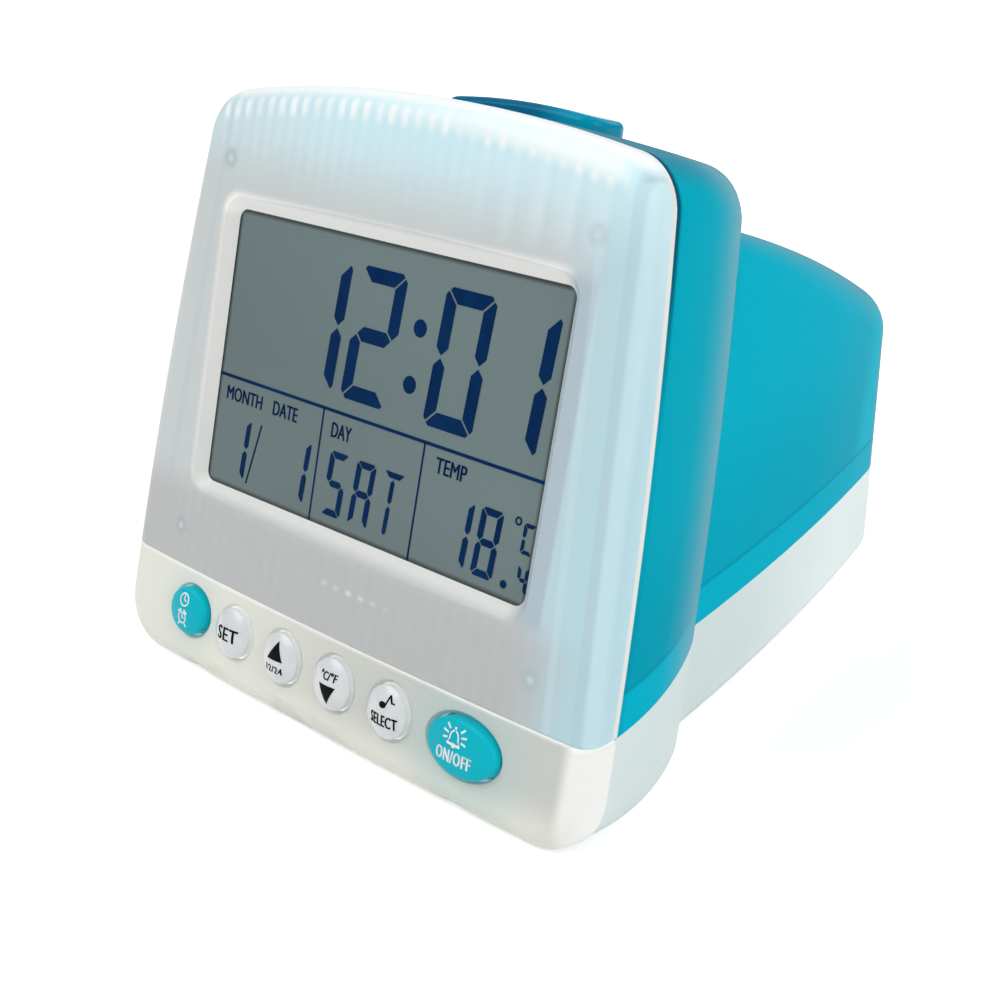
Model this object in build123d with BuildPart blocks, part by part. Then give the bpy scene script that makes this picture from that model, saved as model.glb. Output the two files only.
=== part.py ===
"""Desk alarm clock with a leaning display, a tapering two-part case and a snooze bar.

X runs to the right, Y to the back and Z up. The origin is the point of the flat underside
straight below the middle of the display. Lengths are millimetres.
"""
import os
from math import cos, radians, sin, tan

from build123d import *

os.makedirs("parts", exist_ok=True)

# Stance of the clock
face_tilt = 13.5
seam_height = 15.4

# Front frame, measured along the leaning face from the middle of the display
glass_above = 16.55
glass_below = 10.5
frame_sag = 3.7
frame_foot = 0.28
frame_side_top = 5.45
frame_side_mid = 9.6
frame_side_low = 12.15
frame_face = 1.8
frame_back = 4.2
frame_bow_radius = 1000.0
frame_corner = 8.0
frame_edge = 3.2
frame_wall = 2.0
seam_groove = 0.4

# Display opening with its sloping rim, and the glass behind it
glass_width = 71.5
glass_height = 47.5
glass_lap = 3.3
glass_side_lap = 3.25
opening_corner = 1.6
rim_slope_width = 2.3
rim_corner = 4.0
glass_ledge = 2.0
glass_sheet = 1.3
glass_gap = 0.1
glass_pocket_clear = 0.3

# Screw bosses moulded behind the front
boss_side = 2.1
boss_above = 3.55
boss_below = 4.45
boss_radius = 2.2
pilot_radius = 0.85
pilot_depth = 1.8

# Striped plate that shows through the frosted front
plate_gap = 0.3
plate_thickness = 1.6
plate_edge_clear = 0.5
plate_boss_clear = 0.4
stripe_pitch = 2.5
stripe_width = 1.25
stripe_depth = 0.7
stripe_margin = 6.2

# Tray that holds the glass, and the main board on its posts
tray_gap = 0.1
holder_side = 3.4
holder_above = 7.75
holder_corner = 3.0
holder_thickness = 1.5
holder_lap = 0.75
holder_side_lap = 2.75
post_radius = 1.8
post_height = 1.4
post_inset = 2.6
board_gap = 0.9
board_above = 5.25
board_corner = 1.0
board_thickness = 1.6
strip_end = 1.0
strip_thickness = 1.8
strip_edge = 1.0
blob_radius = 6.0
blob_height = 1.6
blob_up = 6.0

# Row of buttons on the lower front panel
key_height_share = 0.5988
key_gap_share = 0.1868
key_pitch_share = 0.1923
key_radius_share = 0.3304
key_shoulder = 0.7
key_crown = 1.8
key_clear = 0.25
key_travel = 0.8
flange_margin = 0.8
flange_thickness = 0.8
flange_gap = 0.3
mode_side = 17.7
mode_width_share = 0.7411
mode_height_share = 0.6429
alarm_side = 19.85
alarm_width_share = 1.0982
alarm_height_share = 0.6964
oval_crown = 1.5
oval_fall = 0.9
oval_edge = 0.6
hole_rim = 0.4
hole_rim_angle = 45.0

# Rubber mat, keypad board and their posts behind the buttons
mat_side = 11.4
mat_height = 9.0
mat_sheet = 0.8
mat_depth = 3.9
mat_corner = 1.0
dome_radius = 2.6
dome_taper = 15.0
keypad_side = 5.7
keypad_height = 9.6
keypad_thickness = 1.2
keypad_post_side = 8.3
small_screw_radius = 0.8
small_head_radius = 1.7
small_head_height = 1.1

# Collar behind the front frame: its sides curve in and its arched top flattens towards the back
collar_step = 0.3
collar_depth = 29.8
collar_start_angle = 5.2
collar_side_radius = 59.0
collar_top_share = 0.15
collar_sag = 2.3
collar_section_shares = (0.0, 0.33, 0.67, 1.0)
collar_corner = 8.0
collar_back_round = 6.0

# Rear body: tapering plan, sloping top, rounded end
body_front = 12.0
body_mid_ahead = 4.2
body_past_bay = 13.5
body_end_bow = 2.0
body_side_front = 6.3
body_side_mid = 8.3
body_side_end = 3.3
body_end_corner = 15.0
body_rise_front = 28.3
body_rise_mid = 16.5
body_fall_end = 5.7
body_top_round = 8.0
body_foot_round = 1.8

# Walls of the case and the lip that joins its two halves
case_wall = 2.2
lip_gap = 0.25
lip_wall = 1.0
lip_height = 5.7
lip_root = 4.0

# Screws that close the case from below
case_boss_radius = 3.0
case_screw_side = 16.5
case_screw_front_y = 16.0
case_screw_gap = 0.5
case_screw_past_bay = 16.6
case_screw_radius = 1.3
case_screw_hole = 1.6
case_screw_pilot = 1.35
case_screw_bite = 8.0
case_head_radius = 2.4
case_head_height = 1.8
case_head_clear = 0.3
case_head_depth = 9.0

# Snooze bar on top of the collar, its switch and its small board
snooze_back = 23.8
snooze_length = 29.5
snooze_width = 9.0
snooze_end = 3.6
snooze_proud = 2.4
snooze_arch = 0.9
snooze_edge = 1.1
snooze_clear = 0.3
snooze_flange = 1.0
snooze_flange_thickness = 1.0
snooze_flange_gap = 1.8
snooze_shell = 1.8
snooze_travel = 1.2
switch_size = 6.0
switch_body = 3.5
switch_stem = 1.5
switch_stem_radius = 1.7
switch_gap = 0.3
snooze_post_gap = 0.7
snooze_board_end = 3.0
snooze_board_width = 8.0

# Speaker lying over slots in the floor
speaker_y = 23.0
speaker_radius = 14.0
speaker_rim = 1.2
speaker_basket = 3.6
speaker_basket_radius = 11.0
speaker_magnet = 2.8
speaker_magnet_radius = 7.5
sound_slot_width = 1.6
sound_slot_pitch = 4.0
sound_slot_length = 16.0
sound_slot_count = 5

# Two round cells in their bay, with sheet-metal contacts
cell_radius = 7.25
cell_length = 50.5
cell_nub_radius = 2.75
cell_nub = 1.2
cell_edge = 0.8
cell_gap = 0.6
cell_clear = 0.4
bay_front = 41.4
bay_wall = 1.2
bay_flange = 3.0
bay_flange_start = 6.6
bay_flange_length = 34.0
contact_sheet = 0.4
contact_spring = 1.4
contact_half = 5.2
contact_spring_radius = 3.6
contact_spring_taper = 25.0

# Battery door in its rails, sliding off to the back
door_clear = 0.3
door_tongue = 1.3
door_ledge = 0.8
grip_count = 5
grip_pitch = 2.4
grip_width = 1.1
grip_depth = 0.5
grip_length = 14.0
grip_end = 10.0

# Planes and places worked out from the sizes above
lean = radians(face_tilt)
opening_width = glass_width - glass_side_lap * 2
opening_height = glass_height - glass_lap * 2
display_height = seam_height + (glass_height / 2 + glass_below) * cos(lean)
frame_rise = glass_height / 2 + glass_above
frame_drop = (display_height - frame_foot) / cos(lean)
frame_half_top = glass_width / 2 + frame_side_top
frame_half_mid = glass_width / 2 + frame_side_mid
frame_half_low = glass_width / 2 + frame_side_low
frame_depth = frame_face + frame_back
face = Plane(origin=(0, 0, display_height), x_dir=(1, 0, 0), z_dir=(0, -cos(lean), sin(lean)))
across = Plane(origin=face.origin, x_dir=face.x_dir, z_dir=face.y_dir)
forward = Axis(face.origin, face.z_dir)
backward = Axis(face.origin, -face.z_dir)
seam = Plane.XY.offset(seam_height)
inner_face = frame_face - frame_wall
glass_front = inner_face - glass_gap
glass_thickness = glass_sheet * 2
holder_front = glass_front - glass_thickness - tray_gap
holder_back = holder_front - holder_thickness
board_front = holder_back - post_height
boss_across = opening_width / 2 + boss_side
boss_up = glass_height / 2 + boss_above
boss_down = glass_height / 2 + boss_below
boss_places = [
    (-boss_across, boss_up),
    (boss_across, boss_up),
    (-boss_across, -boss_down),
    (boss_across, -boss_down),
]

# Row of buttons: a share of the panel's height up, spread between the two ovals
key_row = (seam_height * key_height_share - display_height) / cos(lean)
mode_across = mode_side - frame_half_low
alarm_across = frame_half_low - alarm_side
key_span = alarm_across - mode_across
key_pitch = key_span * key_pitch_share
key_first = mode_across + key_span * key_gap_share
key_radius = key_pitch * key_radius_share
mode_width = key_pitch * mode_width_share
alarm_width = key_pitch * alarm_width_share
mode_height = key_pitch * mode_height_share
alarm_height = key_pitch * alarm_height_share
key_places = [key_first + key_pitch * count for count in range(4)]
oval_keys = {
    "mode_button": (mode_across, mode_width, mode_height),
    "alarm_button": (alarm_across, alarm_width, alarm_height),
}
round_keys = dict(zip(("set_button", "up_button", "down_button", "select_button"), key_places))
flange_back = inner_face - flange_gap - flange_thickness
mat_half = frame_half_low - mat_side
keypad_half = frame_half_low - keypad_side
keypad_post_across = frame_half_low - keypad_post_side

# Bay for the cells, and the rear body around it
cell_spread = cell_radius + cell_gap / 2
bay_half = cell_spread + cell_radius + cell_clear
bay_length = cell_length + (contact_sheet + contact_spring) * 2
cell_height = case_wall + cell_clear + cell_radius
bay_top = cell_height + cell_radius + cell_clear + bay_wall
bay_flange_half = bay_half + bay_wall + bay_flange
case_screw_front_x = frame_half_low - case_screw_side
case_screw_rear_x = bay_flange_half + case_screw_gap + case_boss_radius
case_screw_rear_y = bay_front + case_screw_past_bay
case_screw_places = [
    (-case_screw_front_x, case_screw_front_y),
    (case_screw_front_x, case_screw_front_y),
    (-case_screw_rear_x, case_screw_rear_y),
    (case_screw_rear_x, case_screw_rear_y),
]
body_mid = case_screw_rear_y - body_mid_ahead
body_end = bay_front + bay_length + body_past_bay
body_half_mid = case_screw_rear_x + body_side_mid
body_half_front = body_half_mid + body_side_front
body_half_end = bay_half + body_side_end
body_top_front = display_height + body_rise_front
body_top_mid = display_height + body_rise_mid
body_top_end = display_height - body_fall_end
overrun = body_end

# Main board between the front screw columns, and the holder in front of it
board_width = (case_screw_front_x - case_boss_radius - board_gap) * 2
board_height = glass_height + board_above * 2
post_across = board_width / 2 - post_inset
post_up = board_height / 2 - post_inset
strip_length = board_width - strip_end * 2
holder_width = (boss_across + holder_side) * 2
holder_height = glass_height + holder_above * 2
holder_window_width = glass_width - holder_side_lap * 2
holder_window_height = glass_height - holder_lap * 2


def on_face(depth):
    """The plane of the face, moved forward by the given depth."""
    return face.offset(depth)


def bow_drop(place):
    """How far the bowed front falls back at a place to the side of the middle."""
    return place**2 / (2 * frame_bow_radius)


def face_outline(plane, side_inset, top_inset, foot_inset, corner, sag=frame_sag):
    """Outline of the front: bulging sides that lean in, an arched top and a flat foot."""
    low_x = frame_half_low - side_inset
    low_y = foot_inset - frame_drop
    mid_x = frame_half_mid - side_inset
    top_x = frame_half_top - side_inset
    top_y = frame_rise - sag - top_inset
    with BuildSketch(plane) as drawn:
        with BuildLine():
            ThreePointArc((low_x, low_y), (mid_x, 0), (top_x, top_y))
            ThreePointArc((top_x, top_y), (0, frame_rise - top_inset), (-top_x, top_y))
            ThreePointArc((-top_x, top_y), (-mid_x, 0), (-low_x, low_y))
            Line((-low_x, low_y), (low_x, low_y))
        make_face()
        fillet(drawn.vertices(), corner)
    return drawn.sketch


def bowed_strip(front, depth):
    """Section of a plate that follows the bow of the front, seen from above."""
    edge = frame_half_low
    side = bow_drop(edge) - front
    with BuildSketch(across) as drawn:
        with BuildLine():
            ThreePointArc((-edge, side), (0, -front), (edge, side))
            Line((edge, side), (edge, side + depth))
            ThreePointArc((edge, side + depth), (0, depth - front), (-edge, side + depth))
            Line((-edge, side + depth), (-edge, side))
        make_face()
    return drawn.sketch


def frame_form(inset):
    """Solid of the front frame, drawn in all round by the inset and open to the back."""
    outline = face_outline(on_face(-frame_back - inset), inset, inset, inset, frame_corner - inset)
    with BuildPart() as form:
        extrude(outline, amount=frame_depth + inset)
        bowed = bowed_strip(frame_face - inset, frame_depth * 2)
        extrude(bowed, amount=overrun, both=True, mode=Mode.INTERSECT)
        fillet(form.faces().sort_by(forward)[-1].edges(), frame_edge - inset)
        split(bisect_by=Plane.XY.offset(inset), keep=Keep.TOP)
    return form.part


def collar_inset(depth):
    """How far the collar's side has curved in at a depth behind the front frame."""
    return collar_step + tan(radians(collar_start_angle)) * depth + depth**2 / (2 * collar_side_radius)


def collar_form(inset):
    """Solid of the collar, drawn in all round by the inset and open to the front."""
    outlines = []
    for share in collar_section_shares:
        depth = collar_depth * share
        side = collar_inset(depth)
        plane = on_face(inset - frame_back - depth)
        top = side * collar_top_share
        sag = frame_sag + (collar_sag - frame_sag) * share
        outlines.append(face_outline(plane, side + inset, top + inset, inset, collar_corner - inset, sag))
    with BuildPart() as form:
        loft(sections=outlines)
        fillet(form.faces().sort_by(backward)[-1].edges(), collar_back_round - inset)
        split(bisect_by=Plane.XY.offset(inset), keep=Keep.TOP)
    return form.part


def body_form(inset):
    """Solid of the rear body, drawn in all round by the inset; only the outer foot is rounded."""
    front_x = body_half_front - inset
    mid_x = body_half_mid - inset
    end_x = body_half_end - inset
    end_y = body_end - inset
    end_side = end_y - body_end_bow
    with BuildPart() as form:
        with BuildSketch(Plane.XY.offset(inset)) as plan:
            with BuildLine():
                ThreePointArc((front_x, body_front), (mid_x, body_mid), (end_x, end_side))
                ThreePointArc((end_x, end_side), (0, end_y), (-end_x, end_side))
                ThreePointArc((-end_x, end_side), (-mid_x, body_mid), (-front_x, body_front))
                Line((-front_x, body_front), (front_x, body_front))
            make_face()
            fillet(plan.vertices().group_by(Axis.Y)[-1], body_end_corner - inset)
        extrude(amount=body_top_front)
        with BuildSketch(Plane.YZ):
            with BuildLine():
                ThreePointArc(
                    (body_front, body_top_front - inset),
                    (body_mid, body_top_mid - inset),
                    (body_end, body_top_end - inset),
                )
                Line((body_end, body_top_end - inset), (body_end, 0))
                Line((body_end, 0), (body_front, 0))
                Line((body_front, 0), (body_front, body_top_front - inset))
            make_face()
        extrude(amount=overrun, both=True, mode=Mode.INTERSECT)
        fillet(form.faces().sort_by(Axis.Z)[-1].edges().sort_by(Axis.Y)[1:], body_top_round - inset)
        if inset < body_foot_round:
            fillet(form.faces().sort_by(Axis.Z)[0].edges().sort_by(Axis.Y)[1:], body_foot_round - inset)
    return form.part


def case_form(inset):
    """Collar and rear body together, drawn in all round by the inset."""
    with BuildPart() as form:
        add(collar_form(inset))
        add(body_form(inset))
    return form.part


# Front: the frosted bezel above the seam and the button panel below it
frame_outer = frame_form(0)
frame_core = frame_form(frame_wall)

with BuildPart() as front_bezel:
    add(frame_outer)
    split(bisect_by=seam, keep=Keep.TOP)
    chamfer(front_bezel.faces().sort_by(Axis.Z)[0].edges().sort_by(Axis.Y)[:-1], seam_groove)
    add(frame_core, mode=Mode.SUBTRACT)
    for place in boss_places:
        boss_root = inner_face + frame_wall / 2 - bow_drop(place[0])
        with BuildSketch(on_face(holder_front)):
            with Locations(place):
                Circle(boss_radius)
        extrude(amount=boss_root - holder_front)
        with BuildSketch(on_face(holder_front)):
            with Locations(place):
                Circle(pilot_radius)
        extrude(amount=pilot_depth, mode=Mode.SUBTRACT)
    with BuildSketch(on_face(inner_face)):
        RectangleRounded(opening_width, opening_height, opening_corner)
    with BuildSketch(on_face(frame_face)):
        RectangleRounded(
            opening_width + rim_slope_width * 2, opening_height + rim_slope_width * 2, rim_corner
        )
    loft(mode=Mode.SUBTRACT)
    with BuildSketch(on_face(inner_face)):
        Rectangle(glass_width + glass_pocket_clear * 2, glass_height + glass_pocket_clear * 2)
    extrude(amount=-frame_depth, mode=Mode.SUBTRACT)
front_bezel.part.label = "front_bezel"
export_step(front_bezel.part, "parts/front_bezel.step")

with BuildPart() as button_panel:
    add(frame_outer)
    split(bisect_by=seam, keep=Keep.BOTTOM)
    chamfer(button_panel.faces().sort_by(Axis.Z)[-1].edges().sort_by(Axis.Y)[:-1], seam_groove)
    add(frame_core, mode=Mode.SUBTRACT)
    for side in (-keypad_post_across, keypad_post_across):
        post_root = inner_face + frame_wall / 2 - bow_drop(side)
        with BuildSketch(on_face(-mat_depth - mat_sheet)):
            with Locations((side, key_row)):
                Circle(boss_radius)
        extrude(amount=post_root + mat_depth + mat_sheet)
        with BuildSketch(on_face(-mat_depth - mat_sheet)):
            with Locations((side, key_row)):
                Circle(pilot_radius)
        extrude(amount=pilot_depth, mode=Mode.SUBTRACT)
    with BuildSketch(face):
        with Locations(*[(place, key_row) for place in key_places]):
            Circle(key_radius + key_clear)
        for place, width, height in oval_keys.values():
            with Locations((place, key_row)):
                Ellipse(width / 2 + key_clear, height / 2 + key_clear)
    extrude(amount=frame_depth, both=True, mode=Mode.SUBTRACT)
    for place in key_places:
        with BuildSketch(on_face(frame_face - bow_drop(place) + hole_rim)):
            with Locations((place, key_row)):
                Circle(key_radius + key_clear + hole_rim * 2)
        extrude(amount=-hole_rim * 2, taper=hole_rim_angle, mode=Mode.SUBTRACT)
    for place, width, height in oval_keys.values():
        rim_front = frame_face - bow_drop(place)
        with BuildSketch(on_face(rim_front + hole_rim)):
            with Locations((place, key_row)):
                Ellipse(width / 2 + key_clear + hole_rim * 2, height / 2 + key_clear + hole_rim * 2)
        with BuildSketch(on_face(rim_front - hole_rim)):
            with Locations((place, key_row)):
                Ellipse(width / 2 + key_clear, height / 2 + key_clear)
        loft(mode=Mode.SUBTRACT)
button_panel.part.label = "button_panel"
export_step(button_panel.part, "parts/button_panel.step")

# White plate with upright grooves behind the bezel
with BuildPart() as striped_plate:
    plate_inset = frame_wall + plate_edge_clear
    extrude(
        face_outline(on_face(-frame_back), plate_inset, plate_inset, plate_inset, frame_corner - plate_inset),
        amount=frame_depth,
    )
    plate_bow = bowed_strip(inner_face - plate_gap, plate_thickness)
    extrude(plate_bow, amount=overrun, both=True, mode=Mode.INTERSECT)
    split(bisect_by=seam, keep=Keep.TOP)
    with BuildSketch(face):
        Rectangle(
            glass_width + (glass_pocket_clear + plate_edge_clear) * 2,
            glass_height + (glass_pocket_clear + plate_edge_clear) * 2,
        )
        with Locations(*boss_places):
            Circle(boss_radius + plate_boss_clear)
    extrude(amount=frame_depth, both=True, mode=Mode.SUBTRACT)
    stripe_side = int((frame_half_top - stripe_margin) / stripe_pitch)
    stripe_places = [stripe_pitch * count for count in range(-stripe_side, stripe_side + 1)]
    with BuildSketch(across):
        for place in stripe_places:
            with Locations((place, bow_drop(place) + plate_gap - inner_face)):
                Rectangle(stripe_width, stripe_depth * 2)
    extrude(amount=overrun, both=True, mode=Mode.SUBTRACT)
striped_plate.part.label = "striped_plate"
export_step(striped_plate.part, "parts/striped_plate.step")

# Display glass: a shorter front sheet on a taller back sheet
with BuildPart() as display_glass:
    with BuildSketch(on_face(glass_front - glass_sheet)):
        Rectangle(glass_width, glass_height - glass_ledge)
    extrude(amount=glass_sheet)
    with BuildSketch(on_face(glass_front - glass_sheet)):
        Rectangle(glass_width, glass_height)
    extrude(amount=-glass_sheet)
display_glass.part.label = "display_glass"
export_step(display_glass.part, "parts/display_glass.step")

# Holder screwed to the bezel, which presses the glass forward and carries the board
with BuildPart() as display_holder:
    with BuildSketch(on_face(holder_front)):
        RectangleRounded(holder_width, holder_height, holder_corner)
        Rectangle(holder_window_width, holder_window_height, mode=Mode.SUBTRACT)
        with Locations(*boss_places):
            Circle(small_screw_radius + key_clear, mode=Mode.SUBTRACT)
    extrude(amount=-holder_thickness)
    with BuildSketch(on_face(holder_back)):
        with GridLocations(post_across * 2, post_up * 2, 2, 2):
            Circle(post_radius)
    extrude(amount=-post_height)
display_holder.part.label = "display_holder"
export_step(display_holder.part, "parts/display_holder.step")

with BuildPart() as main_board:
    with BuildSketch(on_face(board_front)):
        RectangleRounded(board_width, board_height, board_corner)
    extrude(amount=-board_thickness)
main_board.part.label = "main_board"
export_step(main_board.part, "parts/main_board.step")

with BuildPart() as chip_cover:
    with BuildSketch(on_face(board_front - board_thickness)):
        with Locations((0, blob_up)):
            Circle(blob_radius)
    extrude(amount=-blob_height)
    fillet(chip_cover.faces().sort_by(backward)[-1].edges(), blob_height / 2)
chip_cover.part.label = "chip_cover"
export_step(chip_cover.part, "parts/chip_cover.step")

# Rubber strips that join the glass to the board along its upper and lower edges
strip_up = holder_window_height / 2 - strip_edge - strip_thickness / 2
for name, place in (("contact_strip_upper", strip_up), ("contact_strip_lower", -strip_up)):
    with BuildPart() as contact_strip:
        with BuildSketch(on_face(glass_front - glass_thickness)):
            with Locations((0, place)):
                Rectangle(strip_length, strip_thickness)
        extrude(amount=board_front - glass_front + glass_thickness)
    contact_strip.part.label = name
    export_step(contact_strip.part, f"parts/{name}.step")

# Four round keys with domed tops, turned about their own axes
for name, place in round_keys.items():
    key_centre = face.from_local_coords((place, key_row, -bow_drop(place)))
    key_top = frame_face + key_crown
    key_side = frame_face + key_shoulder
    flange_front = flange_back + flange_thickness
    with BuildPart() as round_key:
        with BuildSketch(Plane(origin=key_centre, x_dir=face.x_dir, z_dir=-face.y_dir)):
            with BuildLine():
                Polyline(
                    (key_radius, key_side),
                    (key_radius, flange_front),
                    (key_radius + flange_margin, flange_front),
                    (key_radius + flange_margin, flange_back),
                    (0, flange_back),
                    (0, key_top),
                )
                TangentArc((0, key_top), (key_radius, key_side), tangent=(1, 0))
            make_face()
        revolve(axis=Axis(key_centre, face.z_dir))
    round_key.part.label = name
    export_step(round_key.part, f"parts/{name}.step")

# Two oval keys: mode at the left end and the alarm switch at the right end
for name, (place, width, height) in oval_keys.items():
    key_depth = -bow_drop(place)
    key_centre = face.from_local_coords((place, key_row, key_depth))
    key_top = frame_face + oval_crown
    key_over = key_top + oval_crown
    key_reach = width / 2 + flange_margin
    with BuildPart() as oval_key:
        with BuildSketch(on_face(flange_back + key_depth)):
            with Locations((place, key_row)):
                Ellipse(width / 2 + flange_margin, height / 2 + flange_margin)
        extrude(amount=flange_thickness)
        with BuildSketch(on_face(flange_back + key_depth)):
            with Locations((place, key_row)):
                Ellipse(width / 2, height / 2)
        extrude(amount=key_top - flange_back)
        with BuildSketch(Plane(origin=key_centre, x_dir=face.x_dir, z_dir=-face.y_dir)):
            with BuildLine():
                TangentArc((0, key_top), (key_reach, key_top - oval_fall), tangent=(1, 0))
                Polyline((key_reach, key_top - oval_fall), (key_reach, key_over), (0, key_over), (0, key_top))
            make_face()
        revolve(axis=Axis(key_centre, face.z_dir), mode=Mode.SUBTRACT)
        fillet(oval_key.faces().filter_by(GeomType.SPHERE).edges(), oval_edge)
    oval_key.part.label = name
    export_step(oval_key.part, f"parts/{name}.step")

# Rubber mat with one dome under each button, on its board
all_key_places = [*key_places, mode_across, alarm_across]
with BuildPart() as keypad_mat:
    with BuildSketch(on_face(-mat_depth)):
        with Locations((0, key_row)):
            RectangleRounded(mat_half * 2, mat_height, mat_corner)
    extrude(amount=-mat_sheet)
    for place in all_key_places:
        dome_top = flange_back - bow_drop(place) - key_travel - flange_gap
        with BuildSketch(on_face(-mat_depth)):
            with Locations((place, key_row)):
                Circle(dome_radius)
        extrude(amount=dome_top + mat_depth, taper=dome_taper)
keypad_mat.part.label = "keypad_mat"
export_step(keypad_mat.part, "parts/keypad_mat.step")

keypad_front = -mat_depth - mat_sheet
keypad_back = keypad_front - keypad_thickness
with BuildPart() as keypad_board:
    with BuildSketch(on_face(keypad_front)):
        with Locations((0, key_row)):
            RectangleRounded(keypad_half * 2, keypad_height, mat_corner)
        with Locations((-keypad_post_across, key_row), (keypad_post_across, key_row)):
            Circle(small_screw_radius + key_clear, mode=Mode.SUBTRACT)
    extrude(amount=-keypad_thickness)
keypad_board.part.label = "keypad_board"
export_step(keypad_board.part, "parts/keypad_board.step")

# Case: two hollow halves that meet at the seam
case_outer = case_form(0)
case_core = case_form(case_wall)
lip_outer = case_form(case_wall + lip_gap)
lip_inner = case_form(case_wall + lip_gap + lip_wall)

# The snooze bar stands square to the top of the collar
snooze_depth = snooze_back - frame_back
snooze_roof = frame_rise - collar_inset(snooze_depth) * collar_top_share
snooze_seat = Plane(
    origin=face.from_local_coords((0, snooze_roof, -snooze_back)), x_dir=face.x_dir, z_dir=face.y_dir
)
snooze_flange_top = -case_wall - snooze_flange_gap
snooze_flange_foot = snooze_flange_top - snooze_flange_thickness
switch_top = snooze_flange_foot - snooze_travel - switch_gap
snooze_board_top = switch_top - switch_stem - switch_body
snooze_post_across = snooze_length / 2 + snooze_flange + snooze_post_gap + boss_radius
snooze_post_places = [(-snooze_post_across, 0), (snooze_post_across, 0)]

# Screw columns and the posts of the snooze board are left standing in the hollow
with BuildPart() as case_hollow:
    add(case_core)
    with BuildSketch(Plane.XY):
        with Locations(*case_screw_places):
            Circle(case_boss_radius)
    extrude(amount=display_height + overrun, mode=Mode.SUBTRACT)
    with BuildSketch(snooze_seat.offset(snooze_board_top)):
        with Locations(*snooze_post_places):
            Circle(boss_radius)
    extrude(amount=overrun, mode=Mode.SUBTRACT)

with BuildPart() as case_shell:
    add(case_outer)
    add(case_hollow.part, mode=Mode.SUBTRACT)

with BuildPart() as upper_housing:
    add(case_shell.part)
    split(bisect_by=seam, keep=Keep.TOP)
    with BuildSketch(seam):
        with Locations(*case_screw_places):
            Circle(case_screw_pilot)
    extrude(amount=case_screw_bite, mode=Mode.SUBTRACT)
    with BuildSketch(snooze_seat):
        RectangleRounded(
            snooze_length + snooze_clear * 2, snooze_width + snooze_clear * 2, snooze_end + snooze_clear
        )
    extrude(amount=snooze_proud + case_wall, both=True, mode=Mode.SUBTRACT)
    with BuildSketch(snooze_seat.offset(snooze_board_top)):
        with Locations(*snooze_post_places):
            Circle(pilot_radius)
    extrude(amount=pilot_depth, mode=Mode.SUBTRACT)
upper_housing.part.label = "upper_housing"
export_step(upper_housing.part, "parts/upper_housing.step")

# The lip stands inside the upper half and is rooted on the wall of the lower half
with BuildPart() as case_lip:
    add(lip_outer)
    split(bisect_by=seam, keep=Keep.TOP)
    split(bisect_by=seam.offset(lip_height), keep=Keep.BOTTOM)
    add(lip_inner, mode=Mode.SUBTRACT)
    split(bisect_by=on_face(-frame_back), keep=Keep.BOTTOM)

with BuildPart() as lip_foot:
    add(case_core)
    split(bisect_by=seam, keep=Keep.BOTTOM)
    split(bisect_by=seam.offset(-lip_root), keep=Keep.TOP)
    add(lip_inner, mode=Mode.SUBTRACT)
    split(bisect_by=on_face(-frame_back), keep=Keep.BOTTOM)

door_half = bay_half
door_top = case_wall - door_clear
with BuildPart() as lower_housing:
    add(case_shell.part)
    split(bisect_by=seam, keep=Keep.BOTTOM)
    add(lip_foot.part)
    add(case_lip.part)
    with BuildSketch(Plane.XY):
        with Locations(*case_screw_places):
            Circle(case_head_radius + case_head_clear)
    extrude(amount=case_head_depth, mode=Mode.SUBTRACT)
    with BuildSketch(Plane.XY):
        with Locations(*case_screw_places):
            Circle(case_screw_hole)
    extrude(amount=seam_height, mode=Mode.SUBTRACT)
    with BuildSketch(Plane.XZ.offset(-bay_front)):
        with Locations((0, door_ledge / 2)):
            Rectangle((door_half + door_clear) * 2, door_ledge)
        with Locations((0, (door_ledge + case_wall) / 2)):
            Rectangle((door_half + door_tongue + door_clear) * 2, case_wall - door_ledge)
    extrude(amount=-overrun, mode=Mode.SUBTRACT)
    with BuildSketch(Plane.XY):
        with Locations((0, speaker_y)):
            with GridLocations(sound_slot_pitch, 0, sound_slot_count, 1):
                SlotOverall(sound_slot_length, sound_slot_width, rotation=90)
    extrude(amount=case_wall, mode=Mode.SUBTRACT)
lower_housing.part.label = "lower_housing"
export_step(lower_housing.part, "parts/lower_housing.step")

# Battery door: a slice of the floor with tongues that run in the rails
with BuildPart() as battery_door:
    add(case_outer)
    with BuildSketch(Plane.XZ.offset(-bay_front - door_clear)):
        with Locations((0, door_top / 2)):
            Rectangle(door_half * 2, door_top)
        with Locations((0, (door_ledge + door_clear + door_top) / 2)):
            Rectangle((door_half + door_tongue) * 2, door_top - door_ledge - door_clear)
    extrude(amount=-overrun, mode=Mode.INTERSECT)
    with BuildSketch(Plane.XY):
        with Locations((0, body_end - body_foot_round - grip_end)):
            with GridLocations(0, grip_pitch, 1, grip_count):
                SlotOverall(grip_length, grip_width)
    extrude(amount=grip_depth, mode=Mode.SUBTRACT)
battery_door.part.label = "battery_door"
export_step(battery_door.part, "parts/battery_door.step")

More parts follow.
